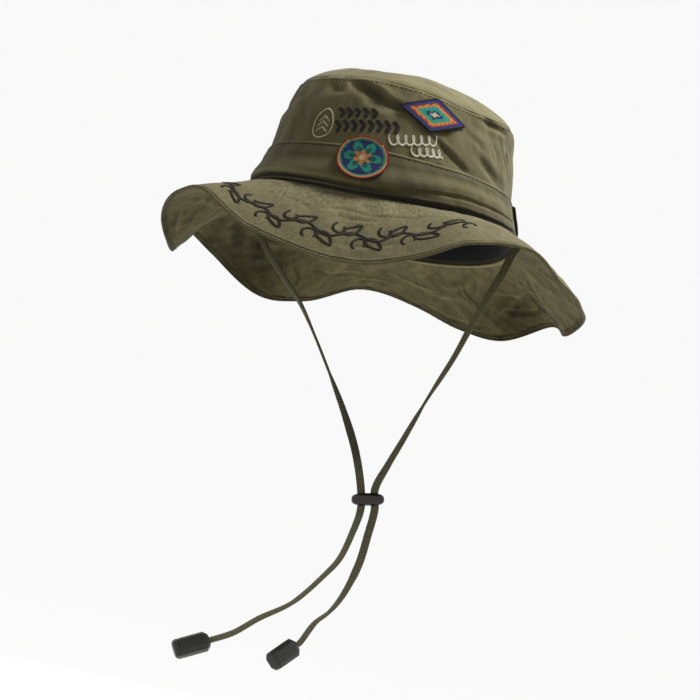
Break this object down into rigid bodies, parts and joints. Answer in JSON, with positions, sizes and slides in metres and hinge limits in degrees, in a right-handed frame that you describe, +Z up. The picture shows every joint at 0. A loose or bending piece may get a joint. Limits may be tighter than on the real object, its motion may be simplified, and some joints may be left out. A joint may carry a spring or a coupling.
{
  "type": "sun hat",
  "caption": "Soft bucket-crowned sun hat with a wide wavy brim, a banded crown, sewn patches, side vents and a chin cord that runs through a slide and ends in hard tips.",
  "frame": {"origin": "centre of the head opening, level with the seam between crown and brim", "axes": "+Z up through the crown, -Y to the front of the hat, +X to the wearer's left"},
  "size_m": [0.2823, 0.3126, 0.3928],
  "materials": {
    "twill": "washed cotton twill, matte",
    "binding_tape": "folded cotton tape, matte",
    "sweatband_cloth": "black tape, matte",
    "black_webbing": "woven webbing, matte",
    "patch_thread": "satin embroidery thread",
    "eyelet_thread": "worked thread",
    "braided_cord": "flat braid, matte",
    "toggle_rubber": "smooth, slightly glossy",
    "end_plastic": "fine satin texture"
  },
  "bodies": {
    "root": {"crown_tip": "twill", "crown_wall": "twill", "crown_band": "twill", "brim": "twill", "brim_binding": "binding_tape", "sweatband": "sweatband_cloth", "side_loop": "black_webbing", "patch_round": "patch_thread", "patch_diamond": "patch_thread", "eyelet_left_front": "eyelet_thread", "eyelet_left_back": "eyelet_thread", "eyelet_right_front": "eyelet_thread", "eyelet_right_back": "eyelet_thread", "cord_left": "braided_cord", "cord_right": "braided_cord", "toggle": "toggle_rubber", "cord_end_left": "end_plastic", "cord_end_right": "end_plastic"}
  },
  "joints": []
}
